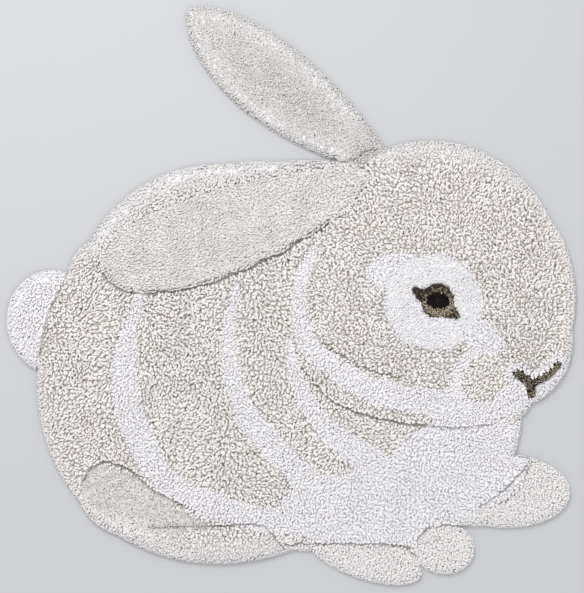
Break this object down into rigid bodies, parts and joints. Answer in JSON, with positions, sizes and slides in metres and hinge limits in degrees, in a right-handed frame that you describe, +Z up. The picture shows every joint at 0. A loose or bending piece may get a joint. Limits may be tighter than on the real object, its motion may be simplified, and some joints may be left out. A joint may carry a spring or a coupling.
{
  "type": "rabbit shaped kids rug",
  "caption": "Flat tufted cotton rug cut to the outline of a crouching rabbit seen from the side, with one raised ear and one ear laid back as a sewn-on flap.",
  "frame": {"origin": "middle of the rectangle round the rug's outline, on the surface that it lies on", "axes": "+X towards the rabbit's nose, +Y towards the tip of its raised ear, +Z up out of the pile"},
  "size_m": [1.1995, 1.2198, 0.0193],
  "materials": {
    "cream_pile": "matte cut cotton pile, warm cream",
    "ear_pile": "matte short fine cotton pile, pale cream",
    "white_pile": "matte cut cotton pile, cool white",
    "brown_pile": "matte cut cotton pile, grey brown",
    "black_pile": "matte cut cotton pile, black",
    "canvas": "matte plain-woven unbleached cotton canvas"
  },
  "bodies": {
    "root": {"rug": "cream_pile", "laid_ear": "ear_pile"}
  },
  "joints": []
}
